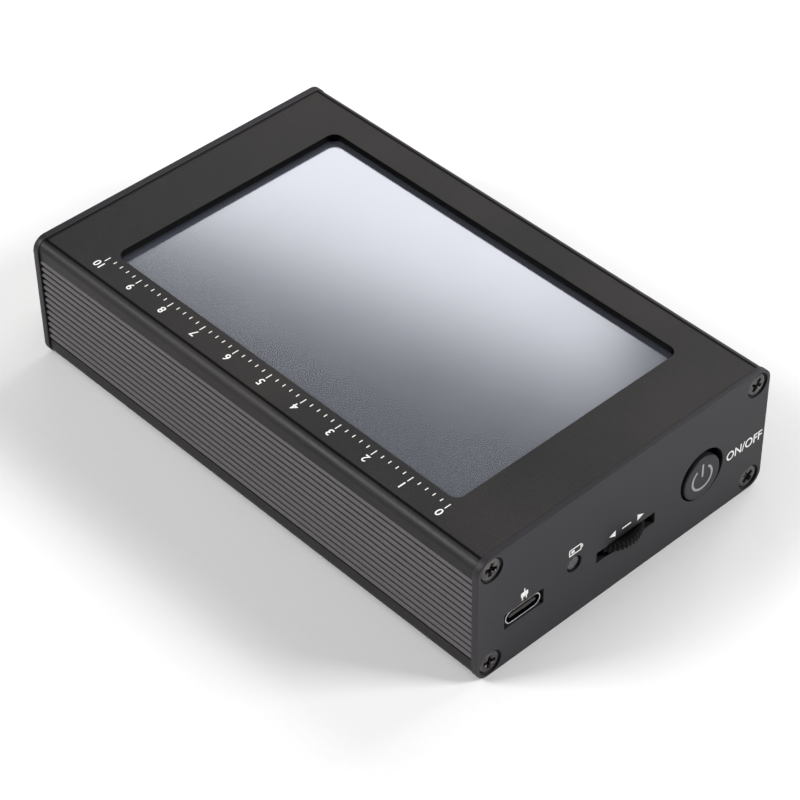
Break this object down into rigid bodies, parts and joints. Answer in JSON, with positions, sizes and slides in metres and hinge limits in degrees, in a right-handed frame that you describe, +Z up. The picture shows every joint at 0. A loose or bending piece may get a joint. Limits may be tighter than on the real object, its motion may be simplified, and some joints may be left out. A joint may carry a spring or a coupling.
{
  "type": "handheld spectrum analyzer",
  "caption": "Pocket radio test instrument in a ribbed aluminium tube with a touch screen, thumbwheel, power button, charge socket and coaxial jacks.",
  "frame": {"origin": "on the surface that the instrument rests on, under the middle of its overall box, which includes the thumbwheel and the coaxial jacks", "axes": "+X from the control end plate to the connector end plate, +Z up out of the screen, +Y to the side with the charge socket"},
  "size_m": [0.1364, 0.0764, 0.0295],
  "materials": {
    "tube_metal": "fine blasted black anodising",
    "plate_metal": "smooth dark grey anodising",
    "dark_screws": "dark plated steel",
    "foam": "black closed-cell foam",
    "touch_glass": "glossy, over an unlit display",
    "tape": "black double-sided tape",
    "thin_steel": "thin tinned steel sheet",
    "display_glass": "polarised, unlit",
    "white_plastic": "white moulded plastic",
    "amber_film": "polyimide film",
    "circuit_board": "green solder mask over glass fibre",
    "cream_plastic": "natural moulded nylon",
    "black_plastic": "black moulded plastic",
    "chips": "black moulded epoxy",
    "brass": "bare brass",
    "gold": "gold plated brass",
    "ceramic": "ceramic with tinned ends",
    "ferrite": "grey ferrite",
    "cell_foil": "laminated pouch foil",
    "lead_insulation": "red and black insulation",
    "socket_steel": "bright nickel plated steel",
    "lamp_lens": "clouded clear epoxy",
    "wheel_plastic": "black moulded plastic",
    "ptfe": "white fluoropolymer"
  },
  "bodies": {
    "case": {"case_tube": "tube_metal", "control_end_plate": "plate_metal", "connector_end_plate": "plate_metal", "control_plate_screws": "dark_screws", "connector_plate_screws": "dark_screws", "window_gasket": "foam", "touch_panel": "touch_glass", "touch_tape": "tape", "lcd_frame": "thin_steel", "lcd_glass": "display_glass", "backlight": "white_plastic", "lcd_flex": "amber_film", "touch_flex": "amber_film", "foam_pads": "foam", "display_board": "circuit_board", "lcd_connector": "cream_plastic", "touch_connector": "cream_plastic", "touch_controller": "chips", "header_plug": "black_plastic", "header_socket": "black_plastic", "board_spacers": "brass", "board_screws": "thin_steel", "main_board": "circuit_board", "controller_chip": "chips", "shield_fence": "thin_steel", "shield_lid": "thin_steel", "synthesizer_chips": "chips", "mixer_chip": "chips", "level_detector": "chips", "reference_crystal": "thin_steel", "chip_capacitors": "ceramic", "power_inductor": "ferrite", "charger_chip": "chips", "regulator_chips": "chips", "battery_socket": "cream_plastic", "battery_plug": "cream_plastic", "battery_leads": "lead_insulation", "battery_pack": "cell_foil", "protection_strip": "amber_film", "battery_tape": "tape", "insulating_sheet": "amber_film", "usb_shell": "socket_steel", "usb_tongue": "black_plastic", "usb_contacts": "gold", "charge_led": "lamp_lens", "led_holder": "black_plastic", "encoder_housing": "black_plastic", "push_switch": "black_plastic", "power_switch_housing": "white_plastic", "jack_bodies": "gold", "jack_insulators": "ptfe", "jack_contacts": "gold", "jack_washers": "gold", "jack_nuts": "gold"},
    "wheel_carrier": {"wheel_carrier": "black_plastic", "wheel_axle": "thin_steel"},
    "thumb_wheel": {"thumb_wheel": "wheel_plastic", "code_disc": "gold"},
    "power_button": {"power_button": "plate_metal", "power_switch_plunger": "white_plastic"}
  },
  "joints": [
    {"name": "power_press", "type": "slide", "parent": "case", "child": "power_button", "axis": [1, 0, 0], "range_m": [0, 0.0015], "stiffness_N_per_m": 800, "springref_m": -0.0006},
    {"name": "wheel_press", "type": "slide", "parent": "case", "child": "wheel_carrier", "axis": [1, 0, 0], "range_m": [0, 0.0004], "stiffness_N_per_m": 3000, "springref_m": -0.0002},
    {"name": "wheel_turn", "type": "hinge", "parent": "wheel_carrier", "child": "thumb_wheel", "pos_m": [-0.06087, 0, 0.00995], "axis": [0, 0, 1], "continuous": true}
  ]
}
